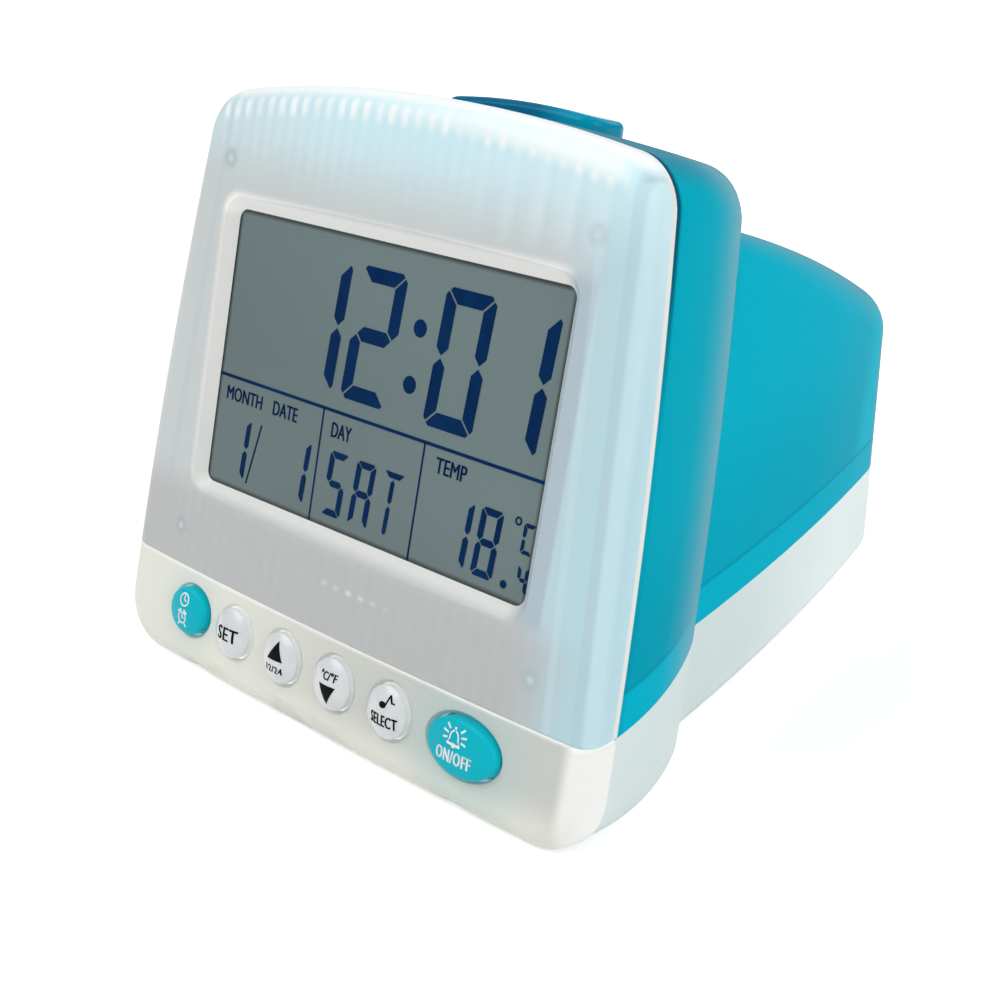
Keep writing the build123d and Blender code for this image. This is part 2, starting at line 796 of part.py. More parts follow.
# Bay over the door with a round-topped trough for each cell
with BuildPart() as battery_bay:
    with BuildSketch(Plane.XY.offset(case_wall)):
        with Locations((0, bay_front + bay_length / 2)):
            Rectangle((bay_half + bay_wall) * 2, bay_length + bay_wall * 2)
    extrude(amount=bay_top - case_wall)
    with BuildSketch(Plane.XY.offset(case_wall)):
        with Locations((0, bay_front + bay_flange_start + bay_flange_length / 2)):
            Rectangle(bay_flange_half * 2, bay_flange_length)
    extrude(amount=bay_wall)
    with BuildSketch(Plane.XZ.offset(-bay_front)):
        for side in (-cell_spread, cell_spread):
            with Locations((side, cell_height)):
                Circle(cell_radius + cell_clear)
            with Locations((side, cell_height / 2)):
                Rectangle((cell_radius + cell_clear) * 2, cell_height)
    extrude(amount=-bay_length, mode=Mode.SUBTRACT)
    with BuildSketch(Plane.XZ.offset(-bay_front)):
        with Locations((0, cell_height)):
            Rectangle((cell_spread + contact_half + cell_clear) * 2, (contact_half + cell_clear) * 2)
    extrude(amount=-bay_length, mode=Mode.SUBTRACT)
battery_bay.part.label = "battery_bay"
export_step(battery_bay.part, "parts/battery_bay.step")

# Two cells lying head to tail
cell_front = bay_front + contact_sheet + contact_spring
for name, side, turned in (("cell_left", -cell_spread, False), ("cell_right", cell_spread, True)):
    nub_end = cell_front + cell_length if turned else cell_front
    cell_way = -1 if turned else 1
    cell_plane = Plane(origin=(side, nub_end, cell_height), x_dir=(1, 0, 0), z_dir=(0, cell_way, 0))
    with BuildPart() as cell:
        with BuildSketch(cell_plane.offset(cell_nub)):
            Circle(cell_radius)
        extrude(amount=cell_length - cell_nub)
        fillet(cell.edges().filter_by(GeomType.CIRCLE), cell_edge)
        with BuildSketch(cell_plane):
            Circle(cell_nub_radius)
        extrude(amount=cell_nub)
    cell.part.label = name
    export_step(cell.part, f"parts/{name}.step")

# Sheet contacts with pressed-out springs: two single ones in front, one bridge behind
contact_back = bay_front + bay_length
for name, end, way, sides in (
    ("contact_positive", bay_front, 1, (-cell_spread,)),
    ("contact_negative", bay_front, 1, (cell_spread,)),
    ("contact_bridge", contact_back, -1, (-cell_spread, cell_spread)),
):
    contact_plane = Plane(origin=(0, end, cell_height), x_dir=(way, 0, 0), z_dir=(0, way, 0))
    with BuildPart() as contact:
        with BuildSketch(contact_plane):
            with Locations((sum(sides) / len(sides) * way, 0)):
                Rectangle(max(sides) - min(sides) + contact_half * 2, contact_half * 2)
        extrude(amount=contact_sheet)
        with BuildSketch(contact_plane.offset(contact_sheet)):
            with Locations(*[(side * way, 0) for side in sides]):
                Circle(contact_spring_radius)
        extrude(amount=contact_spring, taper=contact_spring_taper)
    contact.part.label = name
    export_step(contact.part, f"parts/{name}.step")

# Speaker lying face down over the slots
with BuildPart() as speaker:
    with BuildSketch(Plane.XY.offset(case_wall)):
        with Locations((0, speaker_y)):
            Circle(speaker_radius)
    extrude(amount=speaker_rim)
    with BuildSketch(Plane.XY.offset(case_wall + speaker_rim)):
        with Locations((0, speaker_y)):
            Circle(speaker_basket_radius)
    extrude(amount=speaker_basket, taper=collar_start_angle)
    with BuildSketch(Plane.XY.offset(case_wall + speaker_rim + speaker_basket)):
        with Locations((0, speaker_y)):
            Circle(speaker_magnet_radius)
    extrude(amount=speaker_magnet)
speaker.part.label = "speaker"
export_step(speaker.part, "parts/speaker.step")

# Snooze bar: a hollow cap with an arched top and a flange that stays under the roof
snooze_half = snooze_length / 2
snooze_ends = snooze_proud - snooze_arch
snooze_hollow = snooze_proud - snooze_flange_foot - snooze_flange_thickness - snooze_shell
with BuildPart() as snooze_button:
    with BuildSketch(snooze_seat.offset(snooze_flange_foot)):
        RectangleRounded(snooze_length, snooze_width, snooze_end)
    extrude(amount=snooze_proud - snooze_flange_foot)
    with BuildSketch(Plane(origin=snooze_seat.origin, x_dir=face.x_dir, z_dir=face.z_dir)):
        with BuildLine():
            ThreePointArc((-snooze_half, snooze_ends), (0, snooze_proud), (snooze_half, snooze_ends))
            Line((snooze_half, snooze_ends), (snooze_half, snooze_flange_foot))
            Line((snooze_half, snooze_flange_foot), (-snooze_half, snooze_flange_foot))
            Line((-snooze_half, snooze_flange_foot), (-snooze_half, snooze_ends))
        make_face()
    extrude(amount=snooze_width, both=True, mode=Mode.INTERSECT)
    fillet(snooze_button.faces().sort_by(Axis(face.origin, face.y_dir))[-1].edges(), snooze_edge)
    with BuildSketch(snooze_seat.offset(snooze_flange_foot)):
        RectangleRounded(
            snooze_length + snooze_flange * 2, snooze_width + snooze_flange * 2, snooze_end + snooze_flange
        )
    extrude(amount=snooze_flange_thickness)
    with BuildSketch(snooze_seat.offset(snooze_flange_foot + snooze_flange_thickness)):
        RectangleRounded(
            snooze_length - snooze_shell * 2, snooze_width - snooze_shell * 2, snooze_end - snooze_shell
        )
    extrude(amount=snooze_hollow, mode=Mode.SUBTRACT)
snooze_button.part.label = "snooze_button"
export_step(snooze_button.part, "parts/snooze_button.step")

with BuildPart() as snooze_switch:
    with BuildSketch(snooze_seat.offset(snooze_board_top)):
        Rectangle(switch_size, switch_size)
    extrude(amount=switch_body)
    with BuildSketch(snooze_seat.offset(snooze_board_top + switch_body)):
        Circle(switch_stem_radius)
    extrude(amount=switch_stem)
snooze_switch.part.label = "snooze_switch"
export_step(snooze_switch.part, "parts/snooze_switch.step")

with BuildPart() as snooze_board:
    with BuildSketch(snooze_seat.offset(snooze_board_top)):
        RectangleRounded((snooze_post_across + snooze_board_end) * 2, snooze_board_width, board_corner)
        with Locations(*snooze_post_places):
            Circle(small_screw_radius + key_clear, mode=Mode.SUBTRACT)
    extrude(amount=-board_thickness)
snooze_board.part.label = "snooze_board"
export_step(snooze_board.part, "parts/snooze_board.step")

# Screws, each with its head on the seat and its shank pointing into the boss
small_screw = (small_head_radius, small_head_height, small_screw_radius)
case_screw = (case_head_radius, case_head_height, case_screw_radius)
screws = {}
for count, (place, height) in enumerate(boss_places, 1):
    seat = Plane(origin=face.from_local_coords((place, height, holder_back)), z_dir=face.z_dir)
    screws[f"holder_screw_{count}"] = (seat, holder_thickness + pilot_depth / 2, small_screw)
for count, side in enumerate((-keypad_post_across, keypad_post_across), 1):
    seat = Plane(origin=face.from_local_coords((side, key_row, keypad_back)), z_dir=face.z_dir)
    screws[f"keypad_screw_{count}"] = (seat, keypad_thickness + pilot_depth / 2, small_screw)
for count, (place, _) in enumerate(snooze_post_places, 1):
    seat = Plane(
        origin=snooze_seat.from_local_coords((place, 0, snooze_board_top - board_thickness)), z_dir=face.y_dir
    )
    screws[f"snooze_screw_{count}"] = (seat, board_thickness + pilot_depth / 2, small_screw)
for count, (place, back) in enumerate(case_screw_places, 1):
    seat = Plane(origin=(place, back, case_head_depth), z_dir=(0, 0, 1))
    screws[f"case_screw_{count}"] = (seat, seam_height - case_head_depth + case_screw_bite / 2, case_screw)
for name, (seat, length, (head_radius, head_height, shank_radius)) in screws.items():
    with BuildPart() as screw:
        with BuildSketch(seat):
            Circle(head_radius)
        extrude(amount=-head_height)
        with BuildSketch(seat):
            Circle(shank_radius)
        extrude(amount=length)
    screw.part.label = name
    export_step(screw.part, f"parts/{name}.step")
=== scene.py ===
from math import cos, pi, radians, sin

import bpy
from mathutils import Matrix, Vector


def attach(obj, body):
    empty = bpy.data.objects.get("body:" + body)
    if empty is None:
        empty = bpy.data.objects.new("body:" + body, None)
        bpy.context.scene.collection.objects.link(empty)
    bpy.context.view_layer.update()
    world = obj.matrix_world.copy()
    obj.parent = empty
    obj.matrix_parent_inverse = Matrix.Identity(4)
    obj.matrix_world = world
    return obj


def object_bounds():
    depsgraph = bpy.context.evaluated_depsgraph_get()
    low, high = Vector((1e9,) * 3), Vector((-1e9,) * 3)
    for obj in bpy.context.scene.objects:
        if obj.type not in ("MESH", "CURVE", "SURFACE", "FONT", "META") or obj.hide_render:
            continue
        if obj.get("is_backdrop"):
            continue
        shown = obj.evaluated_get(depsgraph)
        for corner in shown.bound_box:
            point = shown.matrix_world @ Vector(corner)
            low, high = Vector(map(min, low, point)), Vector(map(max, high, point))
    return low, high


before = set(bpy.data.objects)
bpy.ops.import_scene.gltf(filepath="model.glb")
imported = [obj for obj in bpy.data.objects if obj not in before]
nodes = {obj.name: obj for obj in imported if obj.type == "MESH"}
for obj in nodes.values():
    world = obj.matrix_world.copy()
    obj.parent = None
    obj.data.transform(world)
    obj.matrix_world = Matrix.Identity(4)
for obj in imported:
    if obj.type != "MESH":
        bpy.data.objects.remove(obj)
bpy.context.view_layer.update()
bpy.context.scene.view_settings.view_transform = "Standard"


# Boards, rubber, cells, speaker and screws: small bought pieces that are screwed or pushed in place
# inside the case. They show only through the battery opening, each in the plain finish of its material,
# with the faint clouds and the fine pebbled grain that every moulded or coated surface has.
grain_scale = 2500.0
pebble_depth = 0.0001
skin = bpy.data.node_groups.new("moulded_skin", "ShaderNodeTree")
for name in ("Light", "Dark"):
    skin.interface.new_socket(name, in_out="INPUT", socket_type="NodeSocketColor")
for name in ("Cloud Scale", "Grain Scale", "Rough Low", "Rough High"):
    skin.interface.new_socket(name, in_out="INPUT", socket_type="NodeSocketFloat")
skin.interface.new_socket("Color", in_out="OUTPUT", socket_type="NodeSocketColor")
for name in ("Roughness", "Height"):
    skin.interface.new_socket(name, in_out="OUTPUT", socket_type="NodeSocketFloat")
skin_in = skin.nodes.new("NodeGroupInput")
skin_out = skin.nodes.new("NodeGroupOutput")
skin_place = skin.nodes.new("ShaderNodeTexCoord")
clouds = skin.nodes.new("ShaderNodeTexNoise")
clouds.inputs["Detail"].default_value = 3.0
grain = skin.nodes.new("ShaderNodeTexNoise")
grain.inputs["Detail"].default_value = 1.0
tone = skin.nodes.new("ShaderNodeMix")
tone.data_type = "RGBA"
rough = skin.nodes.new("ShaderNodeMapRange")
for noise_node, scale in ((clouds, "Cloud Scale"), (grain, "Grain Scale")):
    skin.links.new(skin_place.outputs["Object"], noise_node.inputs["Vector"])
    skin.links.new(skin_in.outputs[scale], noise_node.inputs["Scale"])
skin.links.new(clouds.outputs["Fac"], tone.inputs["Factor"])
skin.links.new(skin_in.outputs["Light"], tone.inputs["A"])
skin.links.new(skin_in.outputs["Dark"], tone.inputs["B"])
skin.links.new(grain.outputs["Fac"], rough.inputs["Value"])
skin.links.new(skin_in.outputs["Rough Low"], rough.inputs["To Min"])
skin.links.new(skin_in.outputs["Rough High"], rough.inputs["To Max"])
skin.links.new(tone.outputs["Result"], skin_out.inputs["Color"])
skin.links.new(rough.outputs["Result"], skin_out.inputs["Roughness"])
skin.links.new(grain.outputs["Fac"], skin_out.inputs["Height"])


def blank(name):
    """A new material with nothing but its plain shader."""
    made = bpy.data.materials.new(name)
    made.use_nodes = True
    return made


def shader_of(material):
    """The plain shader of a material."""
    return material.node_tree.nodes["Principled BSDF"]


def set_up(node, values):
    """Sets sockets of a shader node by name."""
    for socket, value in values.items():
        node.inputs[socket].default_value = value


def plastic(name, light, dark, rough_low, rough_high, pebble, cloud_scale=60.0):
    """A moulded or coated finish: the skin group on a plain shader, with its grain as a bump."""
    made = blank(name)
    tree = made.node_tree
    shader = shader_of(made)
    surface = tree.nodes.new("ShaderNodeGroup")
    surface.name = "skin"
    surface.node_tree = skin
    set_up(surface, {"Light": (*light, 1.0), "Dark": (*dark, 1.0), "Cloud Scale": cloud_scale,
                     "Grain Scale": grain_scale, "Rough Low": rough_low, "Rough High": rough_high})
    bump = tree.nodes.new("ShaderNodeBump")
    set_up(bump, {"Strength": pebble, "Distance": pebble_depth})
    tree.links.new(surface.outputs["Color"], shader.inputs["Base Color"])
    tree.links.new(surface.outputs["Roughness"], shader.inputs["Roughness"])
    tree.links.new(surface.outputs["Height"], bump.inputs["Height"])
    tree.links.new(bump.outputs["Normal"], shader.inputs["Normal"])
    return made


def dress(material, *names):
    """Gives a finish to CAD pieces whose shape stays as it is."""
    for name in names:
        nodes[name].material_slots[0].material = material


board_green = plastic("board_green", (0.05, 0.20, 0.09), (0.03, 0.15, 0.06), 0.3, 0.45, 0.1)
dress(board_green, "main_board", "keypad_board", "snooze_board")
black_resin = plastic("black_resin", (0.02, 0.02, 0.02), (0.012, 0.012, 0.012), 0.3, 0.5, 0.1)
dress(black_resin, "chip_cover", "snooze_switch")
grey_rubber = plastic("grey_rubber", (0.30, 0.31, 0.32), (0.24, 0.25, 0.26), 0.6, 0.75, 0.1)
dress(grey_rubber, "keypad_mat", "contact_strip_upper", "contact_strip_lower")
cell_wrap = plastic("cell_wrap", (0.10, 0.11, 0.12), (0.07, 0.08, 0.09), 0.2, 0.3, 0.03)
dress(cell_wrap, "cell_left", "cell_right")
speaker_grey = plastic("speaker_grey", (0.12, 0.12, 0.125), (0.08, 0.08, 0.085), 0.35, 0.5, 0.1)
dress(speaker_grey, "speaker")
plated_steel = plastic("plated_steel", (0.62, 0.61, 0.58), (0.52, 0.51, 0.49), 0.22, 0.34, 0.05)
set_up(shader_of(plated_steel), {"Metallic": 1.0})
screws = [name for name in nodes if "screw_" in name]
dress(plated_steel, "contact_positive", "contact_negative", "contact_bridge", *screws)

# Ribbed plate, display holder and battery bay: plain white mouldings inside the case.
# The plate has upright grooves and is caught between the bezel and the glass, and all three
# have the satin skin of parts that are never meant to be touched.
inner_white = plastic("inner_white", (0.88, 0.88, 0.86), (0.82, 0.82, 0.80), 0.45, 0.6, 0.15)
dress(inner_white, "striped_plate", "display_holder", "battery_bay")

# Display glass: two sheets with the liquid between them and a grey-green reflector behind.
# The holder presses it to the back of the bezel. The reflector has a very fine speckle, a painted shade
# darkens it towards the lower left, and a dark painted shade runs round the edge of the opening.
opening_side, opening_top = 0.0324, 0.0203
edge_shade = 0.0007


def number(tree, operation, first, second=None):
    """One sum in a shader tree; each term is a socket or a plain number."""
    step = tree.nodes.new("ShaderNodeMath")
    step.operation = operation
    for socket, term in zip(step.inputs, (first, second)):
        if isinstance(term, (int, float)):
            socket.default_value = term
        elif term is not None:
            tree.links.new(term, socket)
    return step.outputs[0]


def times(tree, *terms):
    """Product of several masks."""
    made = terms[0]
    for term in terms[1:]:
        made = number(tree, "MULTIPLY", made, term)
    return made


def most(tree, *terms):
    """Largest of several masks."""
    made = terms[0]
    for term in terms[1:]:
        made = number(tree, "MAXIMUM", made, term)
    return made


def ramp(tree, value, start, end):
    """Smooth rise from 0 to 1 as the value goes from start to end."""
    climb = tree.nodes.new("ShaderNodeMapRange")
    climb.interpolation_type = "SMOOTHSTEP"
    tree.links.new(value, climb.inputs["Value"])
    set_up(climb, {"From Min": start, "From Max": end})
    return climb.outputs["Result"]


def mixed(tree, mask, first, second):
    """Colour that goes from the first to the second with the mask."""
    blend = tree.nodes.new("ShaderNodeMix")
    blend.data_type = "RGBA"
    tree.links.new(mask, blend.inputs["Factor"])
    for socket, colour in ((blend.inputs["A"], first), (blend.inputs["B"], second)):
        if isinstance(colour, tuple):
            socket.default_value = (*colour, 1.0)
        else:
            tree.links.new(colour, socket)
    return blend.outputs["Result"]


def layered(tree, base, layers):
    """Lays colours over a base, each where its mask is and as strongly as its weight."""
    for mask, weight, colour in layers:
        base = mixed(tree, times(tree, mask, weight), base, colour)
    return base


def noise(tree, scale):
    """Soft noise that is fixed to the piece."""
    coordinates = tree.nodes.new("ShaderNodeTexCoord")
    made = tree.nodes.new("ShaderNodeTexNoise")
    made.inputs["Scale"].default_value = scale
    tree.links.new(coordinates.outputs["Object"], made.inputs["Vector"])
    return made.outputs["Fac"]


face_lean = radians(13.5)
face_height = 0.0487
face_place = bpy.data.node_groups.new("face_place", "ShaderNodeTree")
coordinates = face_place.nodes.new("ShaderNodeTexCoord")
split = face_place.nodes.new("ShaderNodeSeparateXYZ")
face_place.links.new(coordinates.outputs["Object"], split.inputs[0])
level = number(face_place, "SUBTRACT", split.outputs["Z"], face_height)
back = split.outputs["Y"]
rise = number(face_place, "ADD", times(face_place, level, cos(face_lean)),
              times(face_place, back, sin(face_lean)))
depth = number(face_place, "SUBTRACT", times(face_place, level, sin(face_lean)),
               times(face_place, back, cos(face_lean)))
face_out = face_place.nodes.new("NodeGroupOutput")
for name, value in (("Across", split.outputs["X"]), ("Rise", rise), ("Depth", depth),
                    ("Height", split.outputs["Z"])):
    face_place.interface.new_socket(name, in_out="OUTPUT", socket_type="NodeSocketFloat")
    face_place.links.new(value, face_out.inputs[name])


def on_face(tree):
    """Places on the leaning face: Across, Rise from the display's middle, Depth out of it, and Height."""
    found = tree.nodes.new("ShaderNodeGroup")
    found.node_tree = face_place
    return found.outputs


display_grey = blank("display_grey")
tree = display_grey.node_tree
shader = shader_of(display_grey)
set_up(shader, {"Coat Weight": 0.25, "Coat Roughness": 0.12, "Specular IOR Level": 0.2})
face = on_face(tree)
across, rise = face["Across"], face["Rise"]
speckle = noise(tree, 5200.0)
# Painted shade: the reflector is darker towards the lower left.
painted_shade_low_left = ramp(tree, number(tree, "ADD", times(tree, rise, 0.6), times(tree, across, 0.4)), 0.016, -0.016)
near_edge = most(tree, ramp(tree, number(tree, "ABSOLUTE", across), opening_side - edge_shade, opening_side),
                 ramp(tree, number(tree, "ABSOLUTE", rise), opening_top - edge_shade, opening_top))
reflector = mixed(tree, speckle, (0.136, 0.194, 0.198), (0.180, 0.242, 0.244))
reflector = layered(tree, reflector, ((painted_shade_low_left, 0.35, (0.060, 0.088, 0.092)),
                                      (near_edge, 0.9, (0.03, 0.04, 0.04))))
tree.links.new(reflector, shader.inputs["Base Color"])
tree.links.new(number(tree, "ADD", times(tree, speckle, 0.1), 0.4), shader.inputs["Roughness"])
dress(display_grey, "display_glass")

# Display print: the segments that the liquid turns dark, and the fixed rules and words beside them.
# Each is a film a few hundredths of a millimetre thick, lying on the glass under the opening.
# Places and sizes are in millimetres, across and up from the middle of the display.
film_depth = 0.00025
film_thickness = 0.00003
face_matrix = Matrix.Translation((0, 0, face_height)) @ Matrix.Rotation(radians(90) - face_lean, 4, "X")


def film(points, slant=0.0, middle=0.0):
    """A flat film with the given corners, leaning by its slant about the middle height."""
    bpy.ops.object.select_all(action="DESELECT")
    bpy.ops.mesh.primitive_circle_add(vertices=len(points), radius=0.001, fill_type="NGON")
    made = bpy.context.object
    for corner, (side, up) in zip(made.data.vertices, points):
        corner.co = ((side + slant * (up - middle)) / 1000, up / 1000, 0)
    return made


def ring(side, up, size, count=24):
    """Places round a circle."""
    turns = [2 * pi * n / count for n in range(count)]
    return [(side + size * cos(turn), up + size * sin(turn)) for turn in turns]


def outline(points, inner):
    """A closed line: a ring of corners drawn in towards their middle by the inner share."""
    bpy.ops.object.select_all(action="DESELECT")
    bpy.ops.mesh.primitive_circle_add(vertices=len(points), radius=0.001)
    made = bpy.context.object
    for corner, (side, up) in zip(made.data.vertices, points):
        corner.co = (side / 1000, up / 1000, 0)
    bpy.ops.object.mode_set(mode="EDIT")
    bpy.ops.mesh.select_all(action="SELECT")
    bpy.ops.mesh.extrude_edges_move()
    middle = [sum(place) / len(points) / 1000 for place in zip(*points)]
    bpy.ops.transform.resize(value=(inner, inner, inner), center_override=(*middle, 0))
    bpy.ops.object.mode_set(mode="OBJECT")
    return made


def figure(side, up, width, height, bar, lit, slant=0.05, gap=0.22):
    """The lit films of a seven-segment figure: a to f run clockwise from the top, g is the middle bar."""
    right, top, cut = width / 2, height / 2, bar * 0.4
    half_a = [(right - gap - cut, top), (right - gap - cut / 2, top - cut / 2),
              (right - bar - gap, top - bar)]
    half_g = [(right - bar - gap, -bar / 2), (right - bar / 2 - gap, 0), (right - bar - gap, bar / 2)]
    corner = {
        "a": half_a + [(-x, y) for x, y in half_a[::-1]],
        "b": [(right, top - gap - cut), (right - cut / 2, top - gap - cut / 2),
              (right - bar, top - bar - gap), (right - bar, gap + bar / 2),
              (right - bar / 2, gap), (right, gap + bar / 2)],
        "g": half_g + [(-x, y) for x, y in half_g[::-1]],
    }
    corner["d"] = [(x, -y) for x, y in corner["a"]]
    corner["c"] = [(x, -y) for x, y in corner["b"]]
    corner["f"] = [(-x, y) for x, y in corner["b"]]
    corner["e"] = [(-x, -y) for x, y in corner["b"]]
    return [film([(side + x, up + y) for x, y in corner[part]], slant, up) for part in lit]


def lettering(word, side, up, wide, tall, weight=0.1, spacing=1.0):
    """A word fitted to its width and height, struck twice, the weight apart, for a bold line."""
    struck = []
    for shift in (0, weight):
        bpy.ops.object.select_all(action="DESELECT")
        bpy.ops.object.text_add()
        sign = bpy.context.object
        sign.data.body = word
        sign.data.resolution_u = 3
        sign.data.space_character = spacing
        bpy.ops.object.convert(target="MESH")
        corners = sign.data.vertices
        left, foot = min(c.co.x for c in corners), min(c.co.y for c in corners)
        widen = (wide - weight) / (max(c.co.x for c in corners) - left)
        heighten = tall / (max(c.co.y for c in corners) - foot)
        for c in corners:
            along = side + shift + widen * (c.co.x - left)
            c.co = (along / 1000, (up + heighten * (c.co.y - foot)) / 1000, 0)
        struck.append(sign)
    return struck


def joined(parts, name):
    """One piece from several films."""
    bpy.ops.object.select_all(action="DESELECT")
    for part in parts:
        part.select_set(True)
    bpy.context.view_layer.objects.active = parts[0]
    bpy.ops.object.join()
    made = bpy.context.object
    made.name = name
    return made


def thicken(piece, thickness):
    """Gives a film its thickness."""
    body = piece.modifiers.new("body", "SOLIDIFY")
    body.thickness = thickness
    bpy.context.view_layer.objects.active = piece
    bpy.ops.object.modifier_apply(modifier="body")


films = []
big_up, big_width, big_height, big_bar = 7.5, 9.0, 18.6, 2.05
for side, lit in ((-12.2, "bc"), (-1.35, "abged"), (15.0, "abcdef"), (26.0, "bc")):
    films.extend(figure(side, big_up, big_width, big_height, big_bar, lit))
small_up, small_width, small_height, small_bar = -14.1, 3.8, 9.2, 0.95
for side, lit in ((-26.1, "bc"), (-12.65, "bc"), (-4.7, "afgcd"), (0.85, "abcefg"), (19.6, "bc"),
                  (24.7, "abcdefg")):
    films.extend(figure(side, small_up, small_width, small_height, small_bar, lit, gap=0.14))
films.extend(figure(31.35, -11.7, 2.0, 4.0, 0.52, "aefd", slant=0.03, gap=0.09))
films.extend(figure(31.45, -17.0, 1.75, 3.7, 0.52, "fgbc", slant=0.0, gap=0.09))

# The last letter of the day has a middle stem in two lengths under its bar.
stem_side, stem_half, stem_slant, stem_middle = 6.25, 0.35, 0.05, -14
films.append(film([(4.8, -9.5), (8.4, -9.5), (7.6, -10.3), (5.6, -10.3)]))
for top, foot in ((-10.6, -13.9), (-14.3, -18.3)):
    right_side = [(0, top), (stem_half, top - stem_half), (stem_half, foot + stem_half), (0, foot)]
    left_side = [(-x, y) for x, y in right_side[2:0:-1]]
    films.append(film([(stem_side + x, y) for x, y in right_side + left_side], stem_slant, stem_middle))

# The slash of the date, the dots, the degree ring, the rules and the words.
films.append(film([(-21.6, -9.7), (-21.9, -9.7), (-23.8, -18.9), (-23.5, -18.9)]))
for side, up, size in ((7.1, 10.4, 1.2), (6.7, 2.7, 1.2), (28.5, -18.4, 0.55)):
    films.append(film(ring(side, up, size)))
films.append(outline(ring(29.3, -9.8, 0.58, 28), 0.55))
for side, up, wide, tall in ((0, -4.05, 66.0, 0.46), (-9.05, -12.3, 0.3, 16.5), (11.2, -12.3, 0.3, 16.5)):
    films.append(film([(side - wide / 2, up - tall / 2), (side + wide / 2, up - tall / 2),
                       (side + wide / 2, up + tall / 2), (side - wide / 2, up + tall / 2)]))
for word, side, up, wide, tall in (("MONTH", -30.5, -7.55, 8.2, 2.05), ("DATE", -19.8, -7.55, 5.4, 2.05),
                                   ("DAY", -7.0, -7.7, 4.1, 2.1), ("TEMP", 13.7, -7.5, 5.7, 2.1)):
    films.extend(lettering(word, side, up, wide, tall))
segments = joined(films, "display_segments")
segments.data.transform(face_matrix @ Matrix.Translation((0, 0, -film_depth)))
thicken(segments, film_thickness)
segment_ink = blank("segment_ink")
tree = segment_ink.node_tree
shader = shader_of(segment_ink)
set_up(shader, {"Specular IOR Level": 0.03})
blotch = noise(tree, 190.0)
tree.links.new(mixed(tree, blotch, (0.0, 0.012, 0.060), (0.002, 0.034, 0.120)), shader.inputs["Base Color"])
tree.links.new(number(tree, "ADD", times(tree, blotch, 0.1), 0.4), shader.inputs["Roughness"])
segments.data.materials.append(segment_ink)
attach(segments, "case")

# Front bezel: one moulding in frosted, see-through white plastic, with a pillowed edge and a sloping rim
# round the display, screwed on from inside. The ribs of the plate behind it, the screw bosses and the
# teal case show through it as soft dashes, rings, bands and a blue tint. On top of that it has painted
# highlights on the lit ribs and along the top edge, painted shade below the display and on the right
# slope of the rim, and a painted glow.
top_edge, top_fall = 0.0403, 2.18
rib_pitch, streak_pitch = 0.0025, 0.0048
side_taper = 0.075
rim_side, rim_top, rim_foot_drop = 0.0318, 0.0196, 0.0007
boss_places = ((-0.0346, 0.0273), (0.0351, 0.0271), (-0.0356, -0.0286), (0.0366, -0.0283))
frosted_radius = (0.002, 0.002, 0.002)


def band(tree, value, low, high, soft):
    """A soft stripe that is 1 between low and high and fades out over the soft width on both sides."""
    return times(tree, ramp(tree, value, low - soft, low), ramp(tree, value, high + soft, high))


def distance(tree, first, second):
    """Length of a slant from its two square sides."""
    return number(tree, "SQRT", number(tree, "ADD", times(tree, first, first), times(tree, second, second)))


def spot(tree, face, side, up, size, soft):
    """A soft round patch about one place of the face."""
    sideways = number(tree, "SUBTRACT", face["Across"], side)
    upwards = number(tree, "SUBTRACT", face["Rise"], up)
    return ramp(tree, distance(tree, sideways, upwards), size + soft, size)


def wave(tree, value, pitch):
    """Soft waves between 0 and 1, one to each pitch."""
    return ramp(tree, number(tree, "SINE", times(tree, value, 2 * pi / pitch)), -1.0, 1.0)


def glow(tree, shader, mask, colour):
    """Paints a glow into the plastic where the mask is, in place of light coming through it."""
    tree.links.new(mixed(tree, mask, (0.0, 0.0, 0.0), colour), shader.inputs["Emission Color"])
    shader.inputs["Emission Strength"].default_value = 1.0


frosted_front = plastic("frosted_front", (0.64, 0.675, 0.675), (0.59, 0.63, 0.63), 0.34, 0.48, 0.10)
tree = frosted_front.node_tree
shader = shader_of(frosted_front)
set_up(shader, {"Subsurface Weight": 0.25, "Subsurface Radius": frosted_radius, "Specular IOR Level": 0.3,
                "Coat Weight": 0.1, "Coat Roughness": 0.25})
face = on_face(tree)
across, rise = face["Across"], face["Rise"]
reach = number(tree, "ABSOLUTE", across)
climb = number(tree, "ABSOLUTE", rise)
spread = number(tree, "ADD", reach, times(tree, rise, side_taper))
top_line = number(tree, "SUBTRACT", top_edge, times(tree, across, across, top_fall))
below_top = number(tree, "SUBTRACT", top_line, rise)

# Parts of the face.
within = ramp(tree, reach, 0.0390, 0.0360)
upper = ramp(tree, rise, 0.0225, 0.0350)
lower = ramp(tree, rise, -0.0180, -0.0250)
low_half = ramp(tree, rise, 0.0, -0.0180)
right_hand = ramp(tree, across, 0.0310, 0.0350)
left_hand = ramp(tree, across, -0.0300, -0.0340)

# The ribs: a tint above and below the display and broad streaks. The dashes under the top edge and the
# row of dots are painted highlights on lit ribs, and with a painted glare band and a painted highlight
# along the top edge they make up the painted highlights.
ribs = wave(tree, across, rib_pitch)
patches = number(tree, "ADD", times(tree, ramp(tree, noise(tree, 130.0), 0.38, 0.62), 0.6), 0.4)
patchy_ribs = times(tree, ribs, patches)
rib_tint = times(tree, patchy_ribs, within, most(tree, times(tree, upper, 0.30), times(tree, lower, 0.035)))
streaks = times(tree, wave(tree, across, streak_pitch), ramp(tree, across, 0.010, 0.026),
                ramp(tree, rise, 0.0225, 0.0280), within)
dashes = times(tree, patchy_ribs, within, band(tree, below_top, 0.0028, 0.0036, 0.0016), 0.9)
dots = times(tree, ribs, patchy_ribs, band(tree, rise, -0.0275, -0.0273, 0.0004),
             band(tree, across, 0.002, 0.006, 0.009), 0.5)
